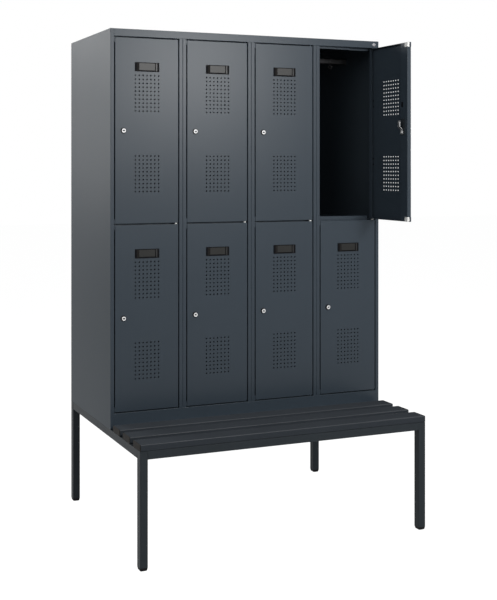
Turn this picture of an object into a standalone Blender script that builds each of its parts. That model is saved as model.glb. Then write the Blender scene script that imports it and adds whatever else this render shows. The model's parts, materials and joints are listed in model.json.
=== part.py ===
"""Steel clothes locker with a bench.

Eight compartments in two tiers of four stand on a square-tube frame. The frame
reaches out in front of the cabinet and carries three seat slats. Each compartment
has a folded pan door on pivot pins, a cam lock, a label frame and a coat rail.
Metres, +Z up, front towards -Y, origin on the floor under the middle.
"""

import math

import bmesh
import bpy
from mathutils import Vector

# Whole object
cabinet_width = 1.200
cabinet_depth = 0.500
cabinet_height = 1.528
bench_projection = 0.310
frame_height = 0.422
column_count = 4
touch_gap = 0.0003

# Folded sheet body
sheet = 0.001
side_flange_width = 0.015
post_width = 0.030
post_groove_width = 0.001
post_groove_depth = 0.0005
top_fascia_height = 0.029
lower_fascia_height = 0.060
stop_clearance = 0.001
stop_lip_height = 0.012
shelf_lip_height = 0.015

# Doors
door_gap = 0.004
tier_gap = 0.005
door_depth = 0.017
lock_channel_width = 0.045
hinge_return_width = 0.015
open_door_angle = math.radians(90)

# Door pivots
pivot_inset = 0.008
pivot_setback = 0.007
pivot_pin_radius = 0.003
pivot_pin_engagement = 0.006
pivot_clearance = 0.0005
pivot_swing_clearance = 0.010
tongue_half_width = 0.007
tongue_thickness = 0.002

# Cam locks
lock_inset = 0.034
lock_rim_radius = 0.0105
lock_rim_height = 0.005
lock_barrel_radius = 0.009
lock_nut_flats = 0.024
lock_nut_height = 0.003
plug_radius = 0.0055
plug_clearance = 0.0003
plug_recess = 0.0005
keyhole_width = 0.0016
keyhole_height = 0.0065
keyhole_depth = 0.004
cam_width = 0.012
cam_thickness = 0.002
cam_tail = 0.008
cam_hub_length = 0.013
cam_crank_run = 0.008
cam_crank_step = 0.011
cam_reach = 0.046
cam_screw_radius = 0.004
cam_screw_height = 0.0015

# Label frames
label_width = 0.100
label_height = 0.035
label_thickness = 0.0025
label_drop = 0.0935
label_border = 0.005
label_recess = 0.0015

# Coat rails
rail_drop = 0.061
rail_height = 0.025
rail_thickness = 0.012
rail_socket_margin = 0.004
rail_socket_thickness = 0.003
hook_wire_radius = 0.0025
hook_prong_radius = 0.013
hook_stem_length = 0.026
hook_saddle_half_width = 0.007
hook_saddle_thickness = 0.002
hook_slide = 0.070

# Bench frame, slats and feet
tube = 0.030
slat_count = 3
slat_width = 0.070
slat_gap = 0.035
slat_thickness = 0.024
slat_edge_radius = 0.003
foot_height = 0.012
foot_inset = 0.001
foot_edge_radius = 0.006

# Round pieces
lock_segments = 24
pin_segments = 16
rail_arc_segments = 5
hook_arc_segments = 10
sharp_angle = math.radians(35)
cut_overrun = 0.002
coordinate_digits = 7

# Worked out from the sizes above
frame_origin = Vector((-cabinet_width / 2, (bench_projection - cabinet_depth) / 2, 0))
cabinet_origin = frame_origin + Vector((0, 0, frame_height + touch_gap))
posts_width = (column_count - 1) * post_width
opening_width = (cabinet_width - 2 * side_flange_width - posts_width) / column_count
column_pitch = opening_width + post_width
front_depth = door_depth + stop_clearance + sheet
wall_inner = sheet + touch_gap
flange_inner = side_flange_width + touch_gap
back_rear = cabinet_depth - wall_inner
back_front = back_rear - sheet
inside_rear = back_front - touch_gap
opening_top = cabinet_height - top_fascia_height
door_width = opening_width - 2 * door_gap
door_height = (opening_top - lower_fascia_height - 2 * door_gap - tier_gap) / 2
lower_door_base = lower_fascia_height + door_gap
upper_door_base = lower_door_base + door_height + tier_gap
tier_height = upper_door_base - tier_gap / 2
door_front = -pivot_setback
door_rear = door_front + door_depth
hinge_edge = pivot_inset
free_edge = hinge_edge - door_width
lock_x = free_edge + lock_inset
lock_z = door_height / 2
pin_reach = sheet + pivot_pin_engagement


def column_left(column):
    """Left side of a column's door opening, from the cabinet's left side."""
    return side_flange_width + column * column_pitch


def pivot_x(column):
    """Pivot axis of a column's doors, from the cabinet's left side."""
    return column_left(column) + opening_width - door_gap - pivot_inset


def post_centre(index):
    """Middle of the post between column index - 1 and column index."""
    return column_left(index) - post_width / 2


def new_object(name, mesh, location, material, parent=None):
    """Link an object at a place given in its parent's frame, or in the world's."""
    item = bpy.data.objects.new(name, mesh)
    bpy.context.scene.collection.objects.link(item)
    item.parent = parent
    item.location = location
    if not mesh.materials:
        mesh.materials.append(material)
    return item


def finish(name, colour, roughness, metallic=0.0):
    """Principled material with one colour, roughness and metallic value."""
    material = bpy.data.materials.new(name)
    material.use_nodes = True
    shader = material.node_tree.nodes["Principled BSDF"]
    shader.inputs["Base Color"].default_value = (*colour, 1.0)
    shader.inputs["Roughness"].default_value = roughness
    shader.inputs["Metallic"].default_value = metallic
    return material


def plate(x_range, y_range, z_range):
    """Box with its low and high value along each axis."""
    return (x_range, y_range, z_range)


def centred(middle, size):
    """Range of a size laid evenly about its middle."""
    return (middle - size / 2, middle + size / 2)


def inside(point, box):
    """True where a point lies in a box."""
    return all(low < value < high for value, (low, high) in zip(point, box))


def mesh_from_plates(name, plates, cuts=()):
    """One closed mesh of all plates together, less the cuts."""
    grid = []
    for axis in range(3):
        values = {round(value, coordinate_digits) for box in (*plates, *cuts) for value in box[axis]}
        grid.append(sorted(values))

    def filled(cell):
        if any(index < 0 or index >= len(line) - 1 for index, line in zip(cell, grid)):
            return False
        point = [(line[index] + line[index + 1]) / 2 for index, line in zip(cell, grid)]
        if any(inside(point, box) for box in cuts):
            return False
        return any(inside(point, box) for box in plates)

    shape = bmesh.new()
    corners = {}

    def corner(key):
        if key not in corners:
            corners[key] = shape.verts.new([line[index] for index, line in zip(key, grid)])
        return corners[key]

    cells = [
        (i, j, k)
        for i in range(len(grid[0]) - 1)
        for j in range(len(grid[1]) - 1)
        for k in range(len(grid[2]) - 1)
        if filled((i, j, k))
    ]
    for cell in cells:
        for axis in range(3):
            for side in (0, 1):
                neighbour = list(cell)
                neighbour[axis] += 2 * side - 1
                if filled(tuple(neighbour)):
                    continue
                first, second = (axis + 1) % 3, (axis + 2) % 3
                loop = []
                for step_first, step_second in ((0, 0), (1, 0), (1, 1), (0, 1)):
                    key = list(cell)
                    key[axis] += side
                    key[first] += step_first
                    key[second] += step_second
                    loop.append(corner(tuple(key)))
                shape.faces.new(loop if side else loop[::-1])
    bmesh.ops.dissolve_limit(shape, angle_limit=math.radians(1), verts=shape.verts, edges=shape.edges)
    mesh = bpy.data.meshes.new(name)
    shape.to_mesh(mesh)
    shape.free()
    return mesh


def loft(name, rings, hollow=False):
    """Closed mesh through rings of points. A hollow one joins its last ring to its first."""
    shape = bmesh.new()
    rows = [[shape.verts.new(point) for point in ring] for ring in rings]
    pairs = list(zip(rows, rows[1:]))
    if hollow:
        pairs.append((rows[-1], rows[0]))
    for low, high in pairs:
        for index in range(len(low)):
            following = (index + 1) % len(low)
            shape.faces.new((low[index], low[following], high[following], high[index]))
    if not hollow:
        shape.faces.new(rows[0][::-1])
        shape.faces.new(rows[-1])
    bmesh.ops.recalc_face_normals(shape, faces=shape.faces)
    mesh = bpy.data.meshes.new(name)
    shape.to_mesh(mesh)
    shape.free()
    mesh.shade_smooth()
    mesh.set_sharp_from_angle(angle=sharp_angle)
    return mesh


def ring(centre, radius, first, second, segments):
    """Points of a circle about a centre, in the plane of two unit directions."""
    points = []
    for step in range(segments):
        turn = 2 * math.pi * step / segments
        points.append(centre + radius * (math.cos(turn) * first + math.sin(turn) * second))
    return points


def rod(name, start, end, radius, segments):
    """Round solid bar between two points."""
    along = (end - start).normalized()
    first = along.orthogonal().normalized()
    second = along.cross(first)
    return loft(name, [ring(point, radius, first, second, segments) for point in (start, end)])


def combine(name, base, additions=(), removals=()):
    """Mesh of a base with others joined to it and others cut from it."""
    body = bpy.data.objects.new(name, base)
    bpy.context.scene.collection.objects.link(body)
    helpers = []
    for operation, meshes in (("UNION", additions), ("DIFFERENCE", removals)):
        for mesh in meshes:
            helper = bpy.data.objects.new(name + "_helper", mesh)
            bpy.context.scene.collection.objects.link(helper)
            helpers.append(helper)
            step = body.modifiers.new(operation, "BOOLEAN")
            step.operation = operation
            step.object = helper
    view = bpy.context.evaluated_depsgraph_get()
    result = bpy.data.meshes.new_from_object(body.evaluated_get(view))
    result.name = name
    result.materials.clear()
    for item in (body, *helpers):
        bpy.data.objects.remove(item, do_unlink=True)
    result.shade_smooth()
    result.set_sharp_from_angle(angle=sharp_angle)
    return result


def rounded_box(name, x_range, y_range, z_range, radius, segments, chosen):
    """Box with a round on each edge that the test picks by its two end points."""
    shape = bmesh.new()
    made = bmesh.ops.create_cube(shape, size=1)
    for vert in made["verts"]:
        for axis, (low, high) in enumerate((x_range, y_range, z_range)):
            vert.co[axis] = high if vert.co[axis] > 0 else low
    edges = [edge for edge in shape.edges if chosen(*(vert.co for vert in edge.verts))]
    bmesh.ops.bevel(shape, geom=edges, offset=radius, segments=segments, affect="EDGES", profile=0.5)
    mesh = bpy.data.meshes.new(name)
    shape.to_mesh(mesh)
    shape.free()
    mesh.shade_smooth()
    mesh.set_sharp_from_angle(angle=sharp_angle)
    return mesh


def side_wall_mesh(name, flip):
    """Side sheet with flanges at its front, rear and base, and a folded front edge."""
    full_height = (0, cabinet_height)
    front = (0, front_depth)
    flange = (0, side_flange_width)
    plates = [
        plate((0, sheet), (0, cabinet_depth), full_height),
        plate(flange, (0, sheet), full_height),
        plate((side_flange_width - sheet, side_flange_width), front, full_height),
        plate(flange, (cabinet_depth - sheet, cabinet_depth), full_height),
        plate(flange, (0, cabinet_depth), (0, sheet)),
        plate(flange, front, (cabinet_height - sheet, cabinet_height)),
    ]
    if flip:
        plates = [
            plate((cabinet_width - high, cabinet_width - low), y_range, z_range)
            for (low, high), y_range, z_range in plates
        ]
    return mesh_from_plates(name, plates)


def back_wall_mesh():
    """Rear sheet with a base flange between the side walls' own."""
    between = (flange_inner, cabinet_width - flange_inner)
    inner = (wall_inner, cabinet_width - wall_inner)
    thin = (back_front, back_rear)
    plates = [
        plate(inner, thin, (wall_inner, cabinet_height - wall_inner)),
        plate(between, thin, (0, cabinet_height - wall_inner)),
        plate(between, (back_rear - side_flange_width, back_rear), (0, sheet)),
    ]
    return mesh_from_plates("back_wall", plates)


def column_pins(name, low, high):
    """Upright pivot pins of every column, between two heights."""
    pins = []
    for column in range(column_count):
        axis = Vector((pivot_x(column), pivot_setback, 0))
        start = axis + Vector((0, 0, low))
        end = axis + Vector((0, 0, high))
        pins.append(rod(name, start, end, pivot_pin_radius, pin_segments))
    return pins


def lip_range(column):
    """Width of a column's door stop, which ends before the swing of the hinge edge."""
    return (column_left(column) + touch_gap, pivot_x(column) - pivot_inset - pivot_swing_clearance)


def top_panel_mesh():
    """Cover with its fascia, the fold behind that, door stops and upper pivot pins."""
    between = (flange_inner, cabinet_width - flange_inner)
    cover = (cabinet_height - sheet, cabinet_height)
    plates = [
        plate(between, (0, back_rear), cover),
        plate((wall_inner, cabinet_width - wall_inner), (front_depth + touch_gap, back_rear), cover),
        plate(between, (0, sheet), (opening_top, cabinet_height)),
        plate(between, (0, front_depth), (opening_top, opening_top + sheet)),
    ]
    for column in range(column_count):
        stop = (opening_top - stop_lip_height, opening_top + sheet)
        plates.append(plate(lip_range(column), (front_depth - sheet, front_depth), stop))
    body = mesh_from_plates("top_panel_sheets", plates)
    pins = column_pins("top_pin", opening_top - door_gap - pin_reach, opening_top + sheet / 2)
    return combine("top_panel", body, additions=pins)


def bottom_panel_mesh():
    """Compartment floor with the lower fascia, base flange, door stops and pivot pins."""
    between = (flange_inner, cabinet_width - flange_inner)
    floor = (lower_fascia_height - sheet, lower_fascia_height)
    plates = [
        plate(between, (0, inside_rear), floor),
        plate((wall_inner, cabinet_width - wall_inner), (front_depth + touch_gap, inside_rear), floor),
        plate(between, (0, sheet), (0, lower_fascia_height)),
        plate(between, (0, side_flange_width), (0, sheet)),
    ]
    for column in range(column_count):
        stop = (lower_fascia_height - sheet, lower_fascia_height + stop_lip_height)
        plates.append(plate(lip_range(column), (front_depth - sheet, front_depth), stop))
    body = mesh_from_plates("bottom_panel_sheets", plates)
    pins = column_pins("bottom_pin", lower_fascia_height - sheet / 2, lower_door_base + pin_reach)
    return combine("bottom_panel", body, additions=pins)


def partition_mesh(index):
    """Upright sheet behind a front post of two folded flanges with a groove between."""
    middle = post_centre(index)
    left, right = centred(middle, post_width)
    groove = centred(middle, post_groove_width)
    post_height = (lower_fascia_height + touch_gap, opening_top - touch_gap)
    wall = centred(middle, sheet)
    plates = [
        plate(wall, (post_groove_depth, inside_rear), post_height),
        plate(wall, (front_depth + touch_gap, inside_rear), (post_height[0], cabinet_height - wall_inner)),
        plate((left, groove[0]), (0, sheet), post_height),
        plate((groove[1], right), (0, sheet), post_height),
        plate((left, right), (post_groove_depth, sheet), post_height),
        plate((left, left + sheet), (0, front_depth), post_height),
        plate((right - sheet, right), (0, front_depth), post_height),
    ]
    return mesh_from_plates("partition", plates)


def mid_shelf_mesh(column):
    """Shelf between the tiers with a front lip and the tongue that holds both pivots."""
    left = wall_inner if column == 0 else post_centre(column) + sheet / 2 + touch_gap
    last = column == column_count - 1
    right = cabinet_width - wall_inner if last else post_centre(column + 1) - sheet / 2 - touch_gap
    mouth = (column_left(column) + touch_gap, column_left(column) + opening_width - touch_gap)
    shelf = centred(tier_height, sheet)
    lip_front = front_depth - sheet
    plates = [
        plate((left, right), (front_depth + touch_gap, inside_rear), shelf),
        plate(mouth, (lip_front, inside_rear), shelf),
        plate(lip_range(column), (lip_front, front_depth), centred(tier_height, 2 * shelf_lip_height)),
        plate(
            centred(pivot_x(column), 2 * tongue_half_width),
            (pivot_setback - tongue_half_width, front_depth),
            centred(tier_height, tongue_thickness),
        ),
    ]
    body = mesh_from_plates("mid_shelf_sheets", plates)
    axis = Vector((pivot_x(column), pivot_setback, tier_height))
    half_pin = Vector((0, 0, tier_gap / 2 + pin_reach))
    pin = rod("shelf_pin", axis - half_pin, axis + half_pin, pivot_pin_radius, pin_segments)
    return combine("mid_shelf", body, additions=[pin])


def door_mesh():
    """Pan door about its pivot axis, with a lock channel and holes for lock and pins."""
    width = (free_edge, hinge_edge)
    depth = (door_front, door_rear)
    height = (0, door_height)
    rear_face = (door_rear - sheet, door_rear)
    channel_side = free_edge + lock_channel_width
    plates = [
        plate(width, (door_front, door_front + sheet), height),
        plate((free_edge, free_edge + sheet), depth, height),
        plate((free_edge, channel_side), rear_face, height),
        plate((channel_side - sheet, channel_side), depth, height),
        plate((hinge_edge - sheet, hinge_edge), depth, height),
        plate((hinge_edge - hinge_return_width, hinge_edge), rear_face, height),
        plate(width, depth, (0, sheet)),
        plate(width, depth, (door_height - sheet, door_height)),
    ]
    body = mesh_from_plates("door_sheets", plates)
    front = Vector((lock_x, door_front - cut_overrun, lock_z))
    rear = Vector((lock_x, door_rear + cut_overrun, lock_z))
    lock_hole = rod("lock_hole", front, rear, lock_barrel_radius + touch_gap, lock_segments)
    low = Vector((0, 0, -cut_overrun))
    high = Vector((0, 0, door_height + cut_overrun))
    pivot_hole = rod("pivot_hole", low, high, pivot_pin_radius + pivot_clearance, pin_segments)
    return combine("door", body, removals=[lock_hole, pivot_hole])


def lock_barrel_mesh():
    """Fixed lock housing with a front rim, a six-sided nut and a bore for the plug."""
    rim_back = door_front - touch_gap
    nut_front = door_rear + touch_gap
    nut_rear = nut_front + lock_nut_height
    bore = plug_radius + plug_clearance
    stations = [
        (rim_back - lock_rim_height, lock_rim_radius, False),
        (rim_back, lock_rim_radius, False),
        (rim_back, lock_barrel_radius, False),
        (nut_front, lock_barrel_radius, False),
        (nut_front, lock_nut_flats / 2, True),
        (nut_rear, lock_nut_flats / 2, True),
        (nut_rear, bore, False),
        (rim_back - lock_rim_height, bore, False),
    ]
    rings = []
    for depth, radius, six_sided in stations:
        points = []
        for step in range(lock_segments):
            turn = 2 * math.pi * step / lock_segments
            reach = radius
            if six_sided:
                reach = radius / math.cos(turn % (math.pi / 3) - math.pi / 6)
            points.append(Vector((reach * math.cos(turn), depth, reach * math.sin(turn))))
        rings.append(points)
    return loft("lock_barrel", rings, hollow=True)


def strip(name, path, thickness, width):
    """Flat bar of even thickness, bent along a path of depth and height points."""
    offsets = []
    for index, point in enumerate(path):
        before = (point - path[index - 1]).normalized() if index else None
        after = (path[index + 1] - point).normalized() if index < len(path) - 1 else None
        along = ((before or after) + (after or before)).normalized()
        across = Vector((along.y, -along.x))
        lean = across.dot(Vector(((after or before).y, -(after or before).x)))
        offsets.append(across * thickness / 2 / lean)
    outline = [point + offset for point, offset in zip(path, offsets)]
    outline += [point - offset for point, offset in reversed(list(zip(path, offsets)))]
    rings = [[Vector((x, point.x, point.y)) for point in outline] for x in (-width / 2, width / 2)]
    return loft(name, rings)


def lock_cam_mesh():
    """Turning plug with a keyhole, the cranked cam on its rear end and the cam's screw."""
    face = door_front - touch_gap - lock_rim_height + plug_recess
    cam_front = door_rear + lock_nut_height + 2 * touch_gap
    cam_middle = cam_front + cam_thickness / 2
    crank_end = cam_hub_length + cam_crank_run
    path = [
        Vector((cam_middle, -cam_tail)),
        Vector((cam_middle, cam_hub_length)),
        Vector((cam_middle + cam_crank_step, crank_end)),
        Vector((cam_middle + cam_crank_step, cam_reach)),
    ]
    cam = strip("cam", path, cam_thickness, cam_width)
    plug = rod("plug", Vector((0, face, 0)), Vector((0, cam_middle, 0)), plug_radius, lock_segments)
    screw_root = Vector((0, cam_middle, 0))
    screw_end = Vector((0, cam_front + cam_thickness + cam_screw_height, 0))
    screw = rod("screw", screw_root, screw_end, cam_screw_radius, pin_segments)
    keyhole = mesh_from_plates(
        "keyhole",
        [
            plate(
                centred(0, keyhole_width),
                (face - cut_overrun, face + keyhole_depth),
                centred(0, keyhole_height),
            )
        ],
    )
    return combine("lock_cam", plug, additions=[cam, screw], removals=[keyhole])


def label_frame_mesh():
    """Thin frame round a recess for a name card."""
    outer = plate(centred(0, label_width), (-label_thickness, 0), centred(0, label_height))
    card = plate(
        centred(0, label_width - 2 * label_border),
        (-label_thickness - cut_overrun, -label_thickness + label_recess),
        centred(0, label_height - 2 * label_border),
    )
    return mesh_from_plates("label_frame", [outer], [card])


def oval_ring(x, height, thickness):
    """Upright oval of two half circles and straight sides, at one place along a rail."""
    radius = thickness / 2
    straight = height / 2 - radius
    points = []
    for end in (1, -1):
        for step in range(rail_arc_segments + 1):
            turn = math.pi * step / rail_arc_segments
            rise = straight + radius * math.sin(turn)
            points.append(Vector((x, end * radius * math.cos(turn), end * rise)))
    return points


def rail_length(column):
    """Clear width between the walls that hold a column's coat rail."""
    walls = side_flange_width + post_width / 2 - sheet * 1.5
    outer = column in (0, column_count - 1)
    return opening_width + (walls if outer else post_width - sheet) - 2 * touch_gap


def coat_rail_mesh(length):
    """Oval tube with an end socket at each wall and a double coat hook."""
    half = length / 2
    bar = loft("rail_bar", [oval_ring(x, rail_height, rail_thickness) for x in (-half, half)])
    sockets = []
    for side in (-1, 1):
        ends = sorted((side * half, side * (half - rail_socket_thickness)))
        size = (rail_height + 2 * rail_socket_margin, rail_thickness + 2 * rail_socket_margin)
        sockets.append(loft("rail_socket", [oval_ring(x, *size) for x in ends]))
    saddle_size = (rail_height + 2 * hook_saddle_thickness, rail_thickness + 2 * hook_saddle_thickness)
    saddle_ends = (hook_slide - hook_saddle_half_width, hook_slide + hook_saddle_half_width)
    saddle = loft("hook_saddle", [oval_ring(x, *saddle_size) for x in saddle_ends])
    stem_top = Vector((hook_slide, 0, -rail_height / 2))
    stem_foot = stem_top - Vector((0, 0, hook_stem_length))
    stem = rod("hook_stem", stem_top, stem_foot, hook_wire_radius, pin_segments // 2)
    bend = stem_foot + Vector((0, 0, hook_prong_radius + hook_wire_radius / 2))
    rings = []
    for step in range(hook_arc_segments + 1):
        turn = math.pi + math.pi * step / hook_arc_segments
        outward = Vector((0, math.cos(turn), math.sin(turn)))
        middle = bend + hook_prong_radius * outward
        rings.append(ring(middle, hook_wire_radius, outward, Vector((1, 0, 0)), pin_segments // 2))
    prongs = loft("hook_prongs", rings)
    return combine("coat_rail", bar, additions=[*sockets, saddle, stem, prongs])


def bench_frame_mesh():
    """Welded frame of four legs, two side rails and three rails across."""
    left = (0, tube)
    right = (cabinet_width - tube, cabinet_width)
    front = (-bench_projection, tube - bench_projection)
    rear = (cabinet_depth - tube, cabinet_depth)
    rails = (frame_height - tube, frame_height)
    legs = (foot_height + touch_gap, frame_height)
    across = (0, cabinet_width)
    along = (-bench_projection, cabinet_depth)
    plates = [plate(x_range, y_range, legs) for x_range in (left, right) for y_range in (front, rear)]
    plates += [plate(x_range, along, rails) for x_range in (left, right)]
    plates += [plate(across, y_range, rails) for y_range in (front, (0, tube), rear)]
    return mesh_from_plates("bench_frame", plates)


def slat_mesh():
    """Seat slat with rounded long edges."""
    def long_edge(first, second):
        return first.x != second.x

    x_range = (0, cabinet_width)
    z_range = (0, slat_thickness)
    return rounded_box("slat", x_range, (0, slat_width), z_range, slat_edge_radius, 3, long_edge)


def foot_mesh():
    """Plastic foot, square like the tube and rounded round its sole."""
    half = tube / 2 - foot_inset

    def sole_edge(first, second):
        return first.z == 0 and second.z == 0

    sides = (-half, half)
    return rounded_box("foot", sides, sides, (0, foot_height), foot_edge_radius, 4, sole_edge)


def add_cabinet(steel):
    """Fixed sheet pieces of the cabinet and the coat rails between its walls."""
    for side, flip in (("left", False), ("right", True)):
        new_object("side_wall_" + side, side_wall_mesh("side_wall_" + side, flip), cabinet_origin, steel)
    new_object("back_wall", back_wall_mesh(), cabinet_origin, steel)
    new_object("top_panel", top_panel_mesh(), cabinet_origin, steel)
    new_object("bottom_panel", bottom_panel_mesh(), cabinet_origin, steel)
    for index in range(1, column_count):
        new_object(f"partition_{index}", partition_mesh(index), cabinet_origin, steel)
    for column in range(column_count):
        new_object(f"mid_shelf_{column + 1}", mid_shelf_mesh(column), cabinet_origin, steel)


def add_coat_rails(zinc):
    """One coat rail in each compartment, under the cover or the shelf above it."""
    for column in range(column_count):
        left = sheet if column == 0 else post_centre(column) + sheet / 2
        mesh = coat_rail_mesh(rail_length(column))
        centre_x = left + touch_gap + rail_length(column) / 2
        for tier, ceiling in (("upper", cabinet_height), ("lower", tier_height)):
            place = Vector((centre_x, cabinet_depth / 2, ceiling - rail_drop))
            new_object(f"coat_rail_{tier}_{column + 1}", mesh, cabinet_origin + place, zinc)


def add_doors(steel, dark_plastic, chrome):
    """Eight doors on their pivots, each with a label frame, a lock barrel and a cam."""
    door = door_mesh()
    label = label_frame_mesh()
    barrel = lock_barrel_mesh()
    cam = lock_cam_mesh()
    lock_place = Vector((lock_x, 0, lock_z))
    label_place = Vector((
        (free_edge + hinge_edge) / 2,
        door_front - touch_gap,
        door_height - label_drop - label_height / 2,
    ))
    for tier, base in (("upper", upper_door_base), ("lower", lower_door_base)):
        for column in range(column_count):
            name = f"{tier}_{column + 1}"
            pivot = cabinet_origin + Vector((pivot_x(column), pivot_setback, base))
            leaf = new_object("door_" + name, door, pivot, steel)
            if tier == "upper" and column == column_count - 1:
                leaf.rotation_euler.z = open_door_angle
            new_object("label_frame_" + name, label, label_place, dark_plastic, leaf)
            new_object("lock_barrel_" + name, barrel, lock_place, chrome, leaf)
            new_object("lock_cam_" + name, cam, lock_place, chrome, leaf)


def add_bench(dark_steel, slat_plastic, black_plastic):
    """Tube frame with its feet, and the seat slats on it."""
    new_object("bench_frame", bench_frame_mesh(), frame_origin, dark_steel)
    slat = slat_mesh()
    for index in range(slat_count):
        front = -bench_projection + index * (slat_width + slat_gap)
        place = frame_origin + Vector((0, front, frame_height + touch_gap))
        new_object(f"slat_{index + 1}", slat, place, slat_plastic)
    foot = foot_mesh()
    near = -bench_projection + tube / 2
    far = cabinet_depth - tube / 2
    for side, x in (("left", tube / 2), ("right", cabinet_width - tube / 2)):
        for end, y in (("front", near), ("rear", far)):
            new_object(f"foot_{end}_{side}", foot, frame_origin + Vector((x, y, 0)), black_plastic)


for leftover in list(bpy.data.objects):
    bpy.data.objects.remove(leftover, do_unlink=True)
anthracite = finish("anthracite_steel", (0.040, 0.048, 0.056), 0.42)
frame_black = finish("dark_steel", (0.022, 0.025, 0.027), 0.45)
slat_grey = finish("slat_plastic", (0.030, 0.033, 0.038), 0.50)
label_black = finish("label_plastic", (0.012, 0.012, 0.012), 0.45)
foot_black = finish("foot_plastic", (0.006, 0.006, 0.007), 0.60)
nickel = finish("lock_nickel", (0.62, 0.62, 0.60), 0.22, 1.0)
zinc_plate = finish("rail_zinc", (0.35, 0.35, 0.36), 0.38, 1.0)
add_cabinet(anthracite)
add_coat_rails(zinc_plate)
add_doors(anthracite, label_black, nickel)
add_bench(frame_black, slat_grey, foot_black)
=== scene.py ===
"""Looks of the locker with bench: folded sheet, punched doors, small trim, finishes, light and camera."""
import json
import math
from functools import partial

import bmesh
import bpy
from mathutils import Matrix, Vector


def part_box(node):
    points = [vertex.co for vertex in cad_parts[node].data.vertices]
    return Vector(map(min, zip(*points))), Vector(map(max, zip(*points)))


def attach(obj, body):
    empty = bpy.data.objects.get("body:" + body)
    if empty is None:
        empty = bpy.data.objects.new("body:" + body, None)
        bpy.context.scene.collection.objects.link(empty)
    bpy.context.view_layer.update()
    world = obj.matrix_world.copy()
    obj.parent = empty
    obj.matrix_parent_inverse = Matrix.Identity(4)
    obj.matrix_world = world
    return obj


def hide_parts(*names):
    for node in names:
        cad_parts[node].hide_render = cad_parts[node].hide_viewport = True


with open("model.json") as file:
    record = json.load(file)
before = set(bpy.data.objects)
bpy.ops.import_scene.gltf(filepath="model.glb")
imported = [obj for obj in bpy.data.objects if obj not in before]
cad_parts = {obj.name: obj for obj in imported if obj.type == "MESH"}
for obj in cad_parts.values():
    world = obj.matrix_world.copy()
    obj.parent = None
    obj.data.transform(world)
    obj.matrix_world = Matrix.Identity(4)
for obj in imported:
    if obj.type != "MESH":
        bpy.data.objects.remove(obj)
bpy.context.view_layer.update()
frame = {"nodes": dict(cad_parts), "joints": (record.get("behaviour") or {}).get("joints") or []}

# Sheet metal, in metres as all sizes are
sheet = 0.001
bend_radius = 0.0014
seam_radius = 0.0011
bend_steps = 4
cut_edge = 0.0003
side_flange = 0.015
post_half_gap = 0.0003
post_depth = 0.019
seam_overlap = 0.010
stop_height = 0.012
top_stop_height = 0.009
stop_joint_shares = (0.35, 0.66)
stop_setbacks = (0, 0.004, 0.012)
stop_hinge_clearance = 0.030
top_stop_reach = 0.016
shelf_lip = 0.015
web_clearance = 0.0012
seat_clearance = 0.0002
base_flange = 0.015
top_fascia = 0.029
wall_area_share = 0.5

# Punched holes of the doors
hole_radius = 0.0029
hole_rim = 0.0003
hole_lip = 0.0006
hole_lip_width = 0.0005
hole_pitch_across = 0.016
hole_pitch_upward = 0.0152
hole_columns = 7
hole_rows = 10
hole_group_drops = (0.2121, 0.5220)
hole_segments = 20

# Door fittings
channel_width = 0.045
hinge_return = 0.015
slot_half = (0.005, 0.011)
slot_rim = 0.0012
slot_rise = 0.1106
pin_radius = 0.003
pin_reach = 0.011
tier_pin_half = 0.0095
pivot_hole_radius = 0.0035
pivot_tile_half = (0.0055, 0.0048)
stud_radius = 0.0026
stud_inset = 0.009
stud_rises = (0.2290, 0.2518, 0.4708, 0.4957)
buffer_width = 0.018
buffer_height = 0.018
buffer_skin = 0.0007
buffer_setback = 0.0045
buffer_edge = 0.0005
tab_width = 0.014
tab_height = 0.018
tab_side_reach = 0.0034
tab_end_reach = 0.0006
tab_setback = 0.0020
tab_depth = 0.006
bush_radius = 0.0055
tongue_half_width = 0.005
bush_edge = 0.0004

# Label holders
label_chamfer = 0.0007
label_corner = 0.0012
label_face_corner = 0.0010
window_corner = 0.0006
card_corner = 0.0005
window_slope = 0.0003
window_half = (0.0335, 0.0140)
window_rise = 0.0012
card_recess = 0.0012
card_thickness = 0.0003
card_margin = 0.0005
card_edge = 0.0001
strip_half_width = 0.0028
strip_offset = 0.0388
strip_rise = 0.0004
strip_end = 0.0022

# Locks
rosette_radius = 0.0112
rosette_height = 0.0058
lock_face_radius = 0.0087
washer_height = 0.0014
lock_face_inner = 0.0058
barrel_radius = 0.0082
plug_radius = 0.0056
plug_sink = 0.0005
keyhole_half = (0.0028, 0.0045)
keyhole_depth = 0.004
nut_flats = 0.022
nut_height = 0.003
nut_segments = 36
plate_reach = (0.018, 0.0105)
plate_span = (-0.013, 0.053)
plate_thickness = 0.0008
plate_screw_radius = 0.0028
plate_screw_rise = 0.0475
cam_half_width = 0.006
cam_thickness = 0.002
cam_tail = 0.008
cam_gap = 0.0006
cam_bend = 0.002
cam_hub = 0.013
cam_crank_run = 0.008
cam_crank_step = 0.011
cam_reach = 0.046
cam_hole_radius = 0.002
cam_screw_radius = 0.004
cam_screw_height = 0.0015
lock_edge = 0.0004
round_segments = 32

# Coat rails
rail_half = (0.006, 0.0125)
rail_socket_margin = 0.004
rail_socket_depth = 0.003
hook_wire = 0.0025
hook_prong = 0.013
hook_stem = 0.026
hook_ball = 0.0042
hook_steps = 16
hook_slide = 0.070
saddle_half_width = 0.007
saddle_margin = 0.002

# Bench
tube_half = 0.015
tube_corner = 0.002
tube_end = 0.0002
joint_gap = 0.0025
joint_inset = 0.003
weld_radius = 0.0016
weld_steps = 24
weld_segments = 10
weld_ripple_share = 0.18
weld_ripple_turn = 2.4
weld_reach_share = 0.8
slat_corner = 0.003
slat_cap = 0.0025
slat_cap_edge = 0.001
slat_seam = 0.0004
slat_corner_steps = 6
foot_collar = 0.003
foot_flare = 0.001
foot_flare_height = 0.0005
foot_edge = 0.006
foot_corner = 0.003
badge_radius = 0.007
badge_height = 0.0012
badge_drop = 0.0145

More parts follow.
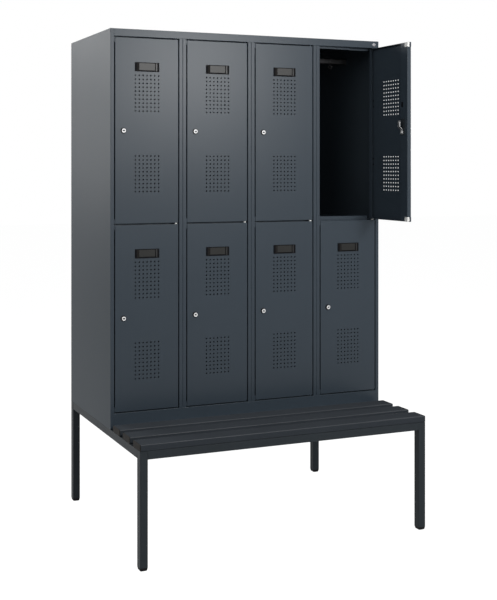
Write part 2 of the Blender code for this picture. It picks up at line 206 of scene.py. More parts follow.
# Camera, fitted to the photograph
photo_height = 600
focal_pixels = 987.0
principal_point = (115.6, 167.0)
photo_centre = (248.5, 300.0)
camera_place = (-1.8589, -3.629, 1.4215)
camera_turn = -19.909
sensor = 36.0

# Lamps: name, place, aim, size, power, and a narrow one's angle of spread in degrees
lamps = (
    ("panel", (1.15, -3.6, 2.2), (1.15, 0, 2.2), (1.9, 1.6), 34),
    ("panel_core", (1.3, -3.6, 2.3), (1.3, 0, 2.3), (0.7, 0.7), 55),
    ("panel_side", (0.2, -3.6, 2.2), (0.2, 0, 2.2), (1.2, 1.2), 24),
    ("key", (-2.4, -2.2, 3.2), (0, 0, 1.4), (1.6, 1.6), 25),
    ("fill", (-0.6, -4.5, 3.0), (0, 0, 1.2), (3.0, 2.0), 15),
    ("top", (0, -1.2, 3.6), (0, -0.3, 0.8), (2.4, 1.0), 9),
    ("left", (-3.4, -0.2, 3.4), (-0.6, 0.1, 2.0), (1.2, 1.2), 18),
    ("side", (-1.9, 3.0, 2.7), (-0.6, 0.1, 1.8), (1.2, 1.0), 16),
    ("side_low", (-2.6, 3.0, 2.0), (-0.6, 0.1, 1.6), (1.6, 1.6), 52),
    ("right", (2.6, 0.15, 1.75), (0.6, 0.15, 1.75), (0.5, 0.9), 3, 30),
)

# Light levels
world_light = 0.08
floor_glow = 1.39
floor_share = 0.7
floor_tone = (0.8, 0.8, 0.8)
floor_reach = 20
sky_tone = (0.95, 0.98, 1.0)

root = "cabinet_and_bench"
columns = (1, 2, 3, 4)
tiers = ("upper", "lower")
straight_cosine = 0.99
noise_range = (0.3, 0.7)
cloud_share = 0.7
cloud_detail = 4.0
sharp_angle = math.radians(35)
hinges = {joint["child"]: joint for joint in frame["joints"]}
opening_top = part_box("top_panel")[1].z - top_fascia


# Shapes

def left_of(direction):
    """The direction a quarter turn to the left."""
    return Vector((-direction.y, direction.x))


def fold_line(corners, radius=bend_radius):
    """Stations (outer point, inner point) along a sheet bent left at each corner, and its flat runs."""
    points = [Vector(corner) for corner in corners]
    stations, runs, start = [], [], 0
    for index, point in enumerate(points):
        ahead = (points[min(index + 1, len(points) - 1)] - point).normalized()
        behind = (point - points[max(index - 1, 0)]).normalized()
        if index == 0:
            behind = ahead
        if index == len(points) - 1:
            ahead = behind
        if behind.dot(ahead) > straight_cosine:
            stations.append((point, point + left_of(ahead) * sheet))
            continue
        runs.append((start, len(stations)))
        centre = point + (ahead - behind) * radius
        for step in range(bend_steps + 1):
            turn = math.pi / 2 * step / bend_steps
            out = behind * math.sin(turn) - ahead * math.cos(turn)
            stations.append((centre + out * radius, centre + out * (radius - sheet)))
        start = len(stations) - 1
    runs.append((start, len(stations) - 1))
    return stations, runs


def punch(shape, outer, inner, radius):
    """One cell of a sheet with a round hole through it, its front edge eased and a low lip behind."""
    middle = sum((vert.co for vert in outer), Vector()) / 4
    depth = sum((vert.co for vert in inner), Vector()) / 4 - middle
    across = (outer[1].co - outer[0].co).normalized()
    upward = (outer[3].co - outer[0].co).normalized()
    inward = depth.normalized()
    rings = []
    back = depth.length
    profile = (
        (hole_rim, 0), (0, hole_rim), (0, back + hole_lip),
        (hole_lip_width, back + hole_lip), (hole_lip_width, back),
    )
    for grow, sink in profile:
        ring = []
        for step in range(hole_segments):
            turn = 2 * math.pi * step / hole_segments - 3 * math.pi / 4
            out = across * math.cos(turn) + upward * math.sin(turn)
            ring.append(shape.verts.new(middle + out * (radius + grow) + inward * sink))
        rings.append(ring)
    quarter = hole_segments // 4
    for corners, ring in ((outer, rings[0]), (inner, rings[-1])):
        for side in range(4):
            arc = [ring[(side * quarter + step) % hole_segments] for step in range(quarter, -1, -1)]
            shape.faces.new([corners[side], corners[(side + 1) % 4], *arc])
    for first, second in zip(rings, rings[1:]):
        for step in range(hole_segments):
            after = (step + 1) % hole_segments
            shape.faces.new((first[step], first[after], second[after], second[step]))


def thick_sheet(shape, place, cells, holes=()):
    """Closed sheet over grid cells. place gives a corner's outer and inner point, holes what to punch."""
    corners = {}

    def corner(key):
        if key not in corners:
            corners[key] = [shape.verts.new(point) for point in place(*key)]
        return corners[key]

    for i, j in sorted(cells):
        loop = [corner(key) for key in ((i, j), (i + 1, j), (i + 1, j + 1), (i, j + 1))]
        outer = [pair[0] for pair in loop]
        inner = [pair[1] for pair in loop]
        middle = sum((vert.co for vert in outer), Vector()) / 4
        found = [radius for centre, radius in holes if (centre - middle).length < cut_edge]
        if found:
            punch(shape, outer, inner, *found)
        else:
            shape.faces.new(outer)
            shape.faces.new(inner[::-1])
        for side, (across, upward) in enumerate(((0, -1), (1, 0), (0, 1), (-1, 0))):
            if (i + across, j + upward) not in cells:
                first, second = loop[side], loop[(side + 1) % 4]
                shape.faces.new((first[0], first[1], second[1], second[0]))


def upright(point, height):
    """Point of a plan at a height."""
    return Vector((point.x, point.y, height))


def lengthwise(point, x):
    """Point of a side view at a place along the width."""
    return Vector((x, point.x, point.y))


def folded(shape, corners, span, place, radius=bend_radius):
    """Sheet bent along a line of corners, over a span across that line."""
    stations, _ = fold_line(corners, radius)
    cells = {(index, 0) for index in range(len(stations) - 1)}
    thick_sheet(shape, lambda i, j: [place(point, span[j]) for point in stations[i]], cells)


def about(middle, reach):
    """Range of a reach to either side of a middle."""
    return middle - reach, middle + reach


def block(shape, x_range, y_range, z_range, edge=cut_edge, steps=2):
    """Box with all its edges rounded."""
    made = bmesh.ops.create_cube(shape, size=1)["verts"]
    for vert in made:
        for axis, (low, high) in enumerate((x_range, y_range, z_range)):
            vert.co[axis] = high if vert.co[axis] > 0 else low
    edges = {line for vert in made for line in vert.link_edges}
    bmesh.ops.bevel(shape, geom=list(edges), offset=edge, segments=steps, affect="EDGES", profile=0.5)


def aimed(origin, direction):
    """Matrix that puts the z axis of a round shape along a direction from a point."""
    turn = Vector(direction).to_track_quat("Z", "Y").to_matrix().to_4x4()
    return Matrix.Translation(origin) @ turn


def oval(half, along, count=round_segments):
    """Points of a circle, or of two half circles with straight sides, across the z axis."""
    points = []
    for step in range(count):
        turn = 2 * math.pi * (step + 0.5) / count
        lift = math.copysign(half[1] - half[0], math.sin(turn))
        points.append(Vector((half[0] * math.cos(turn), half[0] * math.sin(turn) + lift, along)))
    return points


def circle(radius, along, count=round_segments):
    """Points of a circle across the z axis."""
    return oval((radius, radius), along, count)


def hexagon(flats, along, count=nut_segments):
    """Points of a six-sided outline across the z axis."""
    points = []
    for step in range(count):
        turn = 2 * math.pi * step / count
        reach = flats / 2 / math.cos(turn % (math.pi / 3) - math.pi / 6)
        points.append(Vector((reach * math.cos(turn), reach * math.sin(turn), along)))
    return points


def rounded(half, corner, along, steps=4):
    """Points of a rectangle with round corners across the z axis."""
    points = []
    for quarter, (x, y) in enumerate(((1, 1), (-1, 1), (-1, -1), (1, -1))):
        for step in range(steps + 1):
            turn = math.pi / 2 * (quarter + step / steps)
            points.append(Vector((
                x * (half[0] - corner) + corner * math.cos(turn),
                y * (half[1] - corner) + corner * math.sin(turn),
                along,
            )))
    return points


def loft(shape, rings, matrix=Matrix.Identity(4), hollow=False):
    """Closed surface through rings of points. A hollow one joins its last ring to its first."""
    rows = [[shape.verts.new(matrix @ point) for point in ring] for ring in rings]
    pairs = list(zip(rows, rows[1:]))
    if hollow:
        pairs.append((rows[-1], rows[0]))
    for low, high in pairs:
        for index in range(len(low)):
            after = (index + 1) % len(low)
            shape.faces.new((low[index], low[after], high[after], high[index]))
    if not hollow:
        shape.faces.new(rows[0][::-1])
        shape.faces.new(rows[-1])


def turned(shape, matrix, profile, hollow=False):
    """Round shape through a profile of radii and their places along the axis."""
    loft(shape, [circle(*station) for station in profile], matrix, hollow)


def eased_rod(shape, matrix, radius, low, high, edge=lock_edge):
    """Round bar with eased ends."""
    turned(shape, matrix, (
        (radius - edge, low), (radius, low + edge), (radius, high - edge), (radius - edge, high),
    ))


def ball(shape, centre, radius, rings=10, count=16):
    """Round ball with a flat the size of a pinhead at each end."""
    stations = []
    for step in range(1, rings):
        turn = math.pi * step / rings
        stations.append(circle(radius * math.sin(turn), -radius * math.cos(turn), count))
    loft(shape, stations, Matrix.Translation(centre))


def swept(shape, path, radius, count=12):
    """Round wire along a path of points in one plane across X."""
    rings = []
    side = Vector((1, 0, 0))
    for index, point in enumerate(path):
        along = (path[min(index + 1, len(path) - 1)] - path[max(index - 1, 0)]).normalized()
        out = along.cross(side)
        turns = [2 * math.pi * step / count for step in range(count)]
        rings.append([point + radius * (math.cos(turn) * side + math.sin(turn) * out) for turn in turns])
    loft(shape, rings)


def add_object(name, data):
    """New object in the scene with its data."""
    item = bpy.data.objects.new(name, data)
    bpy.context.scene.collection.objects.link(item)
    return item


def piece(name, shape, finishes, body, slot=None, stands_for=(), matrix=Matrix.Identity(4)):
    """Turn a shape into a named piece that rides on a body. Its faces index its finishes, if several."""
    mesh = shape
    if isinstance(shape, bmesh.types.BMesh):
        bmesh.ops.recalc_face_normals(shape, faces=shape.faces)
        mesh = bpy.data.meshes.new(name)
        shape.to_mesh(mesh)
        shape.free()
        mesh.shade_smooth()
        mesh.set_sharp_from_angle(angle=sharp_angle)
        for each in finishes if isinstance(finishes, tuple) else (finishes,):
            mesh.materials.append(each)
    item = add_object(name, mesh)
    item.matrix_world = matrix
    even = item.modifiers.new("flat_faces_stay_flat", "WEIGHTED_NORMAL")
    even.keep_sharp = True
    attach(item, body)
    if stands_for:
        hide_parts(*stands_for)
    return item


# Finishes

def finish(name, colour, roughness, metallic=0.0, specular=0.5):
    """Principled material whose even values sit on the shader's own sockets."""
    material = bpy.data.materials.new(name)
    material.use_nodes = True
    shader = material.node_tree.nodes["Principled BSDF"]
    shader.inputs["Base Color"].default_value = (*colour, 1)
    shader.inputs["Roughness"].default_value = roughness
    shader.inputs["Metallic"].default_value = metallic
    shader.inputs["Specular IOR Level"].default_value = specular
    return material


def noise(nodes, links, vector, scale, detail=2.0):
    """Noise texture over a vector, and its value."""
    texture = nodes.new("ShaderNodeTexNoise")
    texture.inputs["Scale"].default_value = scale
    texture.inputs["Detail"].default_value = detail
    links.new(vector, texture.inputs["Vector"])
    return texture.outputs["Fac"]


def spread(nodes, links, value, low, high):
    """Map a value from noise to a range."""
    mapped = nodes.new("ShaderNodeMapRange")
    mapped.inputs["From Min"].default_value = noise_range[0]
    mapped.inputs["From Max"].default_value = noise_range[1]
    mapped.inputs["To Min"].default_value = low
    mapped.inputs["To Max"].default_value = high
    links.new(value, mapped.inputs["Value"])
    return mapped.outputs["Result"]


def textured(name, colour, roughness, metallic=0.0, specular=0.5, cloud=6.0, tone=0.06,
             grain=700.0, relief=0.00003, stretch=(1, 1, 1), gloss_spread=0.06):
    """Finish with clouds of tone and gloss and a fine relief, measured in the piece's own metres."""
    material = finish(name, colour, roughness, metallic, specular)
    nodes, links = material.node_tree.nodes, material.node_tree.links
    shader = nodes["Principled BSDF"]
    place = nodes.new("ShaderNodeTexCoord")
    squeeze = nodes.new("ShaderNodeMapping")
    squeeze.inputs["Scale"].default_value = stretch
    links.new(place.outputs["Object"], squeeze.inputs["Vector"])
    clouds = noise(nodes, links, place.outputs["Object"], cloud, cloud_detail)
    fine = noise(nodes, links, squeeze.outputs["Vector"], grain)
    shade = nodes.new("ShaderNodeMix")
    shade.data_type = "RGBA"
    shade.inputs["A"].default_value = (*(channel * (1 - tone) for channel in colour), 1)
    shade.inputs["B"].default_value = (*(channel * (1 + tone) for channel in colour), 1)
    both = nodes.new("ShaderNodeMath")
    both.operation = "ADD"
    links.new(spread(nodes, links, clouds, 0, cloud_share), both.inputs[0])
    links.new(spread(nodes, links, fine, 0, 1 - cloud_share), both.inputs[1])
    links.new(both.outputs["Value"], shade.inputs["Factor"])
    links.new(shade.outputs["Result"], shader.inputs["Base Color"])
    gloss = spread(nodes, links, clouds, roughness - gloss_spread, roughness + gloss_spread)
    links.new(gloss, shader.inputs["Roughness"])
    bump = nodes.new("ShaderNodeBump")
    bump.inputs["Distance"].default_value = relief
    links.new(fine, bump.inputs["Height"])
    links.new(bump.outputs["Normal"], shader.inputs["Normal"])
    return material


powder_coat = {"cloud": 2.5, "tone": 0.03, "gloss_spread": 0.01}
extruded = {"grain": 500, "stretch": (0.04, 1, 1), "relief": 0.00005}
zinc_plate = {"cloud": 60, "tone": 0.05, "grain": 1500}
paint = textured("anthracite_paint", (0.031, 0.042, 0.054), 0.29, specular=0.18, **powder_coat)
wall_paint = textured("anthracite_wall_paint", (0.033, 0.043, 0.053), 0.42, specular=0.06, **powder_coat)
frame_paint = textured("dark_frame_paint", (0.0235, 0.0285, 0.033), 0.45, specular=0.07, gloss_spread=0.03)
# Three copies of one slat plastic: the top is painted lighter as painted light from above, the sides and
# underside are painted darker as painted shade, and the top edges are a glossier copy that shows a highlight
# line.
slat_top_painted_light = textured("slat_top_plastic", (0.054, 0.061, 0.070), 0.42, specular=0.0, **extruded)
slat_edge_highlight = textured("slat_edge_plastic", (0.038, 0.043, 0.050), 0.34, specular=0.16, **extruded)
slat_side_painted_shade = textured("slat_side_plastic", (0.029, 0.034, 0.040), 0.42, specular=0.02, **extruded)
cap_plastic = textured("cap_plastic", (0.010, 0.009, 0.008), 0.7, specular=0.1, grain=900)
# Black plastic of the small dark parts. The same finish also paints the inside of the lock's keyhole black
# as painted shade.
black_plastic = textured("black_plastic", (0.004, 0.004, 0.005), 0.55, specular=0.04, grain=900)
foot_plastic = textured("foot_plastic", (0.005, 0.005, 0.006), 0.6, specular=0.10, grain=900)
card_plastic = textured(
    "card_plastic", (0.010, 0.010, 0.009), 0.30, specular=0.22, grain=1500, gloss_spread=0.01,
)
strip_plastic = textured("strip_plastic", (0.010, 0.010, 0.010), 0.28, specular=0.25)
white_plastic = textured("white_plastic", (0.72, 0.72, 0.70), 0.5, specular=0.4, grain=900)
nickel = textured(
    "lock_nickel", (0.74, 0.74, 0.74), 0.42, 0.10,
    specular=0.25, cloud=60, tone=0.03, grain=1500, gloss_spread=0.04,
)
cam_zinc = textured("cam_zinc", (0.52, 0.52, 0.52), 0.42, 1.0, **zinc_plate)
disc_metal = textured("disc_metal", (0.22, 0.22, 0.23), 0.40, 0.35, **zinc_plate)
rail_zinc = textured("rail_zinc", (0.05, 0.05, 0.052), 0.5, 1.0, cloud=40, tone=0.12, grain=900)


# Cabinet

def sheet_piece(name, shape, finishes=paint):
    """Sheet steel piece that takes the place of the CAD node of that name."""
    piece(name + "_sheet", shape, finishes, root, "body_steel", [name])


def side_wall(name, mirror=False):
    """Side sheet folded round the front and rear edges, with a base flange and a closed front top."""
    low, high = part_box(name)
    outer, inner = (high.x, low.x) if mirror else (low.x, high.x)
    toward = math.copysign(1, inner - outer)
    flange_end = outer + toward * side_flange
    corners = [
        (flange_end, high.y), (outer, high.y), (outer, low.y),
        (flange_end, low.y), (flange_end, low.y + post_depth),
    ]
    if mirror:
        corners.reverse()
    shape = bmesh.new()
    folded(shape, corners, (low.z, high.z), upright)
    web = sorted((outer + toward * web_clearance, flange_end - toward * web_clearance))
    front = low.y + web_clearance
    block(shape, web, (front, high.y - web_clearance), (low.z, low.z + sheet))
    block(shape, web, (front, low.y + post_depth), (high.z - sheet, high.z))
    for face in shape.faces:
        face.material_index = int(face.calc_area() > wall_area_share * (high.y - low.y) * (high.z - low.z))
    sheet_piece(name, shape, (paint, wall_paint))


def column_span(column):
    """Left and right side of a column's door opening."""
    hinge = hinges[f"door_upper_{column}"]["pos_m"][0]
    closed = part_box("door_upper_1")
    first = hinges["door_upper_1"]["pos_m"][0]
    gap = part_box("partition_1")[0].x - closed[1].x
    return hinge + closed[0].x - first - gap, hinge + closed[1].x - first + gap


def hinge_rod(shape, name, height, ends, way=1, radius=pin_radius, edge=lock_edge):
    """Round bar on a door's hinge axis, between two ends above a height, or below it where the way is -1."""
    x, y, _ = hinges["door_" + name]["pos_m"]
    eased_rod(shape, aimed((x, y, height), (0, 0, way)), radius, *ends, edge)


def between_walls(shape, box, corners, seam_heights, level):
    """Sheet folded between the side walls' flanges, with tongues behind the seams and strips beside it."""
    low, high = box
    inner = (low.x + side_flange - sheet - cut_edge, high.x - side_flange + sheet + cut_edge)
    folded(shape, corners, inner, lengthwise)
    for end in inner:
        block(shape, about(end, seam_overlap), (low.y + sheet, low.y + 2 * sheet), seam_heights)
    for x_range in ((low.x, inner[0] - cut_edge), (inner[1] + cut_edge, high.x)):
        block(shape, x_range, (low.y + post_depth + cut_edge, high.y), level)


def stop_span(column):
    """Width of a column's door stop, which ends before the hinge edge's swing."""
    left, right = column_span(column)
    return left + cut_edge, right - stop_hinge_clearance


def top_panel():
    """Roof, fascia and the fold under it, with the stops of the upper doors and their hinge pins."""
    low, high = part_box("top_panel")
    rear = low.y + post_depth
    shape = bmesh.new()
    corners = [(high.y, high.z), (low.y, high.z), (low.y, opening_top), (rear, opening_top)]
    seam_heights = (opening_top + sheet, high.z - bend_radius)
    between_walls(shape, (low, high), corners, seam_heights, (high.z - sheet, high.z))
    for column in columns:
        left, right = stop_span(column)
        breaks = [left + share * (right - left) for share in stop_joint_shares]
        joints = (left, *breaks, right + top_stop_reach)
        for start, end, setback in zip(joints, joints[1:], stop_setbacks):
            depth = (rear - sheet + setback, rear + setback)
            span = (start + cut_edge, end - cut_edge)
            block(shape, span, depth, (opening_top - top_stop_height, opening_top + sheet / 2))
        hinge_rod(shape, f"upper_{column}", opening_top, (-sheet, pin_reach), -1)
    sheet_piece("top_panel", shape)


def bottom_panel():
    """Floor and lower fascia with their flanges, the lower doors' stops and hinge pins."""
    low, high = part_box("bottom_panel")
    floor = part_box("partition_1")[0].z - cut_edge
    rear = low.y + post_depth
    shape = bmesh.new()
    corners = [(high.y, floor), (low.y, floor), (low.y, low.z), (low.y + base_flange, low.z)]
    between_walls(shape, (low, high), corners, (low.z + sheet, floor - bend_radius), (floor - sheet, floor))
    for column in columns:
        block(shape, stop_span(column), (rear - sheet, rear), (floor - sheet / 2, floor + stop_height))
        hinge_rod(shape, f"lower_{column}", floor, (-sheet, pin_reach))
    sheet_piece("bottom_panel", shape)


def partition(index):
    """Two folded halves of a post that meet in a seam, with the partition's sheet behind it."""
    name = f"partition_{index}"
    low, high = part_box(name)
    middle = (low.x + high.x) / 2
    rear = low.y + post_depth
    span = (low.z, opening_top - cut_edge)
    shape = bmesh.new()
    for side in (-1, 1):
        start, end = sorted(middle + side * reach for reach in (side_flange, post_half_gap))
        corners = [(start, rear), (start, low.y), (end, low.y), (end, rear)]
        folded(shape, corners, span, upright, seam_radius)
    block(shape, about(middle, sheet / 2), (rear + cut_edge, high.y), (low.z, high.z))
    block(shape, about(middle, side_flange - sheet), (rear - sheet, rear), (low.z + sheet, span[1] - sheet))
    sheet_piece(name, shape)


def mid_shelf(column):
    """Shelf folded down at its front, the stop above it and the tongue with the pin of both doors."""
    name = f"mid_shelf_{column}"
    low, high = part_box(name)
    upper_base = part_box(f"door_upper_{column}")[0].z
    lower_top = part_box(f"door_lower_{column}")[1].z
    tier = (upper_base + lower_top) / 2
    left, right = column_span(column)
    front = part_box("partition_1")[0].y
    lip = front + post_depth - sheet
    shape = bmesh.new()
    corners = [(high.y, tier + sheet / 2), (lip, tier + sheet / 2), (lip, tier - shelf_lip)]
    folded(shape, corners, stop_span(column), lengthwise)
    block(shape, stop_span(column), (lip, lip + sheet), (tier + sheet / 2, tier + shelf_lip))
    for x_range in ((low.x, left), (right - stop_hinge_clearance, high.x)):
        block(shape, x_range, (front + post_depth + cut_edge, high.y), about(tier, sheet / 2))
    x, y, _ = hinges[f"door_upper_{column}"]["pos_m"]
    block(shape, about(x, tongue_half_width), (y, lip + 2 * sheet), about(tier, sheet))
    hinge_rod(shape, f"upper_{column}", tier, (-tier_pin_half, tier_pin_half))
    sheet_piece(name, shape)


def back_wall():
    """The back wall's CAD mesh is seen as it is, in the cabinet's paint."""
    materials = frame["nodes"]["back_wall"].data.materials
    materials.clear()
    materials.append(paint)


def hinge_bushes():
    """White bushes on the hinge pins between the tiers, in front of the tongues that hold the pins."""
    shape = bmesh.new()
    ends = (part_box("door_lower_1")[1].z + cut_edge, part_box("door_upper_1")[0].z - cut_edge)
    for column in columns:
        hinge_rod(shape, f"upper_{column}", 0, ends, radius=bush_radius, edge=bush_edge)
    piece("hinge_bushes", shape, white_plastic, root)


def coat_rail(name):
    """Oval rail with an end socket at each wall and a sliding hook with two prongs."""
    low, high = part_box(name)
    centre = Vector(((low.x + high.x) / 2, (low.y + high.y) / 2, high.z - rail_half[1] - rail_socket_margin))
    half = (high.x - low.x) / 2
    across = aimed(centre, (1, 0, 0))
    shape = bmesh.new()
    loft(shape, [oval(rail_half, along) for along in (-half, half)], across)
    socket = [size + rail_socket_margin for size in rail_half]
    eased = [size - lock_edge for size in socket]
    for side in (-1, 1):
        start, end = sorted((side * half, side * (half - rail_socket_depth)))
        profile = ((eased, start), (socket, start + lock_edge), (socket, end - lock_edge), (eased, end))
        loft(shape, [oval(*station) for station in profile], across)
    saddle = [size + saddle_margin for size in rail_half]
    loft(shape, [oval(saddle, along) for along in about(hook_slide, saddle_half_width)], across)
    stem_top = centre + Vector((hook_slide, 0, -rail_half[1]))
    stem_foot = stem_top - Vector((0, 0, hook_stem))
    swept(shape, [stem_top, stem_foot], hook_wire)
    bend = stem_foot + Vector((0, 0, hook_prong + hook_wire / 2))
    turns = [math.pi * (1 + step / hook_steps) for step in range(hook_steps + 1)]
    path = [bend + hook_prong * Vector((0, math.cos(turn), math.sin(turn))) for turn in turns]
    swept(shape, path, hook_wire)
    for end in (path[0], path[-1]):
        ball(shape, end, hook_ball)
    piece(name + "_bar", shape, rail_zinc, root, "rail_metal", [name])


# Doors

class Door:
    """A door's sizes about its hinge axis, and where it stands."""

    def __init__(self, name):
        hinge = hinges["door_" + name]
        first = hinges["door_upper_1"]["pos_m"]
        low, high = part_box("door_upper_1")
        self.free = low.x - first[0]
        self.hinge = high.x - first[0]
        self.front = low.y - first[1]
        self.rear = high.y - first[1]
        self.height = high.z - low.z
        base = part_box("door_" + name)[0].z
        opened = -math.radians(hinge["range_deg"][0])
        self.matrix = Matrix.Translation((*hinge["pos_m"][:2], base)) @ Matrix.Rotation(opened, 4, "Z")
        lock = hinges["lock_cam_upper_1"]["pos_m"]
        self.lock = Vector((lock[0] - first[0], 0, lock[2] - low.z))
        self.lock_front = aimed(self.lock + Vector((0, self.front, 0)), (0, -1, 0))
        self.lock_rear = aimed(self.lock + Vector((0, self.rear, 0)), (0, 1, 0))
        label_low, label_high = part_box("label_frame_upper_1")
        self.label = (label_low + label_high) / 2 - Vector((*first[:2], low.z))
        self.label_half = (label_high - label_low) / 2


def lines(middle, pitch, count):
    """Places of count lines laid evenly about a middle."""
    return [middle + pitch * (index - (count - 1) / 2) for index in range(count)]


def door_mesh(shape, door):
    """Folded pan with flanges, lock channel and hinge return, and its punched holes."""
    middle = (door.free + door.hinge) / 2
    groups = [door.height - drop for drop in hole_group_drops]
    channel = door.free + channel_width
    front_lines = lines(middle, hole_pitch_across, hole_columns + 1)
    front_lines += about(0, pivot_tile_half[0])
    tile = about(0, pivot_tile_half[1])
    height_lines = [z for group in groups for z in lines(group, hole_pitch_upward, hole_rows + 1)]
    across, across_runs = fold_line([
        (channel, door.front + 2 * sheet),
        (channel, door.rear),
        (door.free, door.rear),
        (door.free, door.front),
        *((x, door.front) for x in front_lines),
        (door.hinge, door.front),
        (door.hinge, door.rear),
        (door.hinge - hinge_return, door.rear),
    ])
    upward, upward_runs = fold_line([
        (door.rear, door.height),
        *((y, door.height) for y in reversed(tile)),
        (door.front, door.height),
        *((door.front, z) for z in sorted(height_lines, reverse=True)),
        (door.front, 0),
        *((y, 0) for y in tile),
        (door.rear, 0),
    ])
    first_column, last_column = across_runs[3]
    first_row, last_row = upward_runs[1]

    def place(i, j):
        points = []
        for side in (0, 1):
            flat, rise = across[i][side], upward[j][side]
            depth = rise.x if first_column <= i <= last_column else flat.y
            points.append(Vector((flat.x, depth, rise.y)))
        return points

    cells = {
        (i, j)
        for i in range(len(across) - 1)
        for j in range(len(upward) - 1)
        if first_column <= i < last_column or first_row <= j < last_row
    }
    holes = [
        (Vector((x, door.front, z)), hole_radius)
        for group in groups
        for z in lines(group, hole_pitch_upward, hole_rows)
        for x in lines(middle, hole_pitch_across, hole_columns)
    ]
    holes += [(Vector((0, 0, z)), pivot_hole_radius) for z in (0, door.height)]
    thick_sheet(shape, place, cells, holes)
    x_range = (door.free - tab_side_reach, door.free + tab_width)
    y_range = (door.front + tab_setback, door.front + tab_setback + tab_depth)
    for z_range in ((-tab_end_reach, tab_height), (door.height - tab_height, door.height + tab_end_reach)):
        block(shape, x_range, y_range, z_range)


def buffer_shape(shape, door):
    """Plastic corner caps at the free edge, over the flange and the channel's ends."""
    x_range = (door.free - buffer_skin, door.free + buffer_width)
    y_range = (door.front + buffer_setback, door.rear + buffer_skin)
    for z_range in ((sheet, buffer_height), (door.height - buffer_height, door.height - sheet)):
        block(shape, x_range, y_range, z_range, buffer_edge, steps=3)


def channel_plug_shape(shape, door):
    """Dark oval plug with a rim in the lock channel, above the lock, and four dark studs by the hinge."""
    at = Vector((door.lock.x, door.rear, door.lock.z + slot_rise))
    rim = [size - slot_rim for size in slot_half]
    profile = ((slot_half, 0), (slot_half, slot_rim / 2), (rim, slot_rim / 2), (rim, slot_rim / 6))
    loft(shape, [oval(*station) for station in profile], aimed(at, (0, 1, 0)))
    for rise in stud_rises:
        stud = aimed(Vector((door.hinge - stud_inset, door.front, rise)), (0, 1, 0))
        eased_rod(shape, stud, stud_radius, sheet / 2, 2 * sheet, cut_edge)


def lifted(ring):
    """A ring of the label's window, which sits a little above the holder's middle."""
    return [point + Vector((0, window_rise, 0)) for point in ring]


def label_holder_shape(shape, door):
    """Chamfered holder with a window and a broad bottom edge."""
    half = (door.label_half.x, door.label_half.z)
    depth = door.label_half.y
    face_half = [size - label_chamfer for size in half]
    card_half = [size - window_slope for size in window_half]
    rings = [
        rounded(half, label_corner, -depth),
        rounded(half, label_corner, depth - label_chamfer),
        rounded(face_half, label_face_corner, depth),
        lifted(rounded(window_half, window_corner, depth)),
        lifted(rounded(card_half, card_corner, depth - card_recess)),
    ]
    loft(shape, rings, aimed(door.label, (0, -1, 0)))


def label_strip_shape(shape, door, side):
    """Raised grip strip at the left of the card, side -1, or at its right, side 1."""
    face = door.label.y - door.label_half.y
    x_range = about(door.label.x + side * strip_offset, strip_half_width)
    block(shape, x_range, about(face, strip_rise), about(door.label.z, door.label_half.z - strip_end))


def card_shape(shape, door):
    """Blank card in the holder's window."""
    face = door.label.y - door.label_half.y + card_recess
    half = [size - card_margin for size in window_half]
    z_range = about(door.label.z + window_rise, half[1])
    block(shape, about(door.label.x, half[0]), about(face, card_thickness), z_range, card_edge, steps=1)


def rosette_shape(shape, door):
    """Dark washer on the door's front, with a dark collar round the lock's head."""
    turned(shape, door.lock_front, (
        (rosette_radius, seat_clearance),
        (rosette_radius, washer_height - lock_edge),
        (rosette_radius - lock_edge, washer_height),
        (lock_face_radius, washer_height + lock_edge),
        (lock_face_radius, rosette_height - 3 * lock_edge),
        (barrel_radius, rosette_height - lock_edge),
        (barrel_radius - lock_edge, seat_clearance),
    ), hollow=True)


def barrel_shape(shape, door):
    """Bright lock face with the barrel through the door and its rear end inside the nut."""
    depth = door.rear - door.front
    turned(shape, door.lock_front, (
        (barrel_radius, -depth),
        (barrel_radius, rosette_height - lock_edge),
        (barrel_radius - lock_edge, rosette_height),
        (lock_face_inner + lock_edge, rosette_height),
        (lock_face_inner, rosette_height - lock_edge),
        (lock_face_inner, -depth),
    ), hollow=True)
    turned(shape, door.lock_rear, (
        (barrel_radius, 0),
        (barrel_radius, nut_height + 2 * lock_edge),
        (barrel_radius - lock_edge, nut_height + 3 * lock_edge),
        (lock_face_inner, nut_height + 3 * lock_edge),
        (lock_face_inner, 0),
    ), hollow=True)


def lock_back_shape(shape, door):
    """Dark nut on the barrel and the thin plate under it, with the plate's screw."""
    rings = [
        hexagon(nut_flats, cut_edge),
        hexagon(nut_flats, nut_height - 2 * lock_edge),
        circle(nut_flats / 2 - lock_edge, nut_height, nut_segments),
        circle(barrel_radius + cut_edge, nut_height, nut_segments),
        circle(barrel_radius + cut_edge, cut_edge, nut_segments),
    ]
    loft(shape, rings, door.lock_rear, hollow=True)
    x_range = (door.lock.x - plate_reach[0], door.lock.x + plate_reach[1])
    z_range = (door.lock.z + plate_span[0], door.lock.z + plate_span[1])
    block(shape, x_range, (door.rear - cut_edge, door.rear + plate_thickness), z_range, cut_edge)
    screw = aimed(Vector((door.lock.x, door.rear, door.lock.z + plate_screw_rise)), (0, 1, 0))
    eased_rod(shape, screw, plate_screw_radius, 0, 2 * plate_thickness, cut_edge)


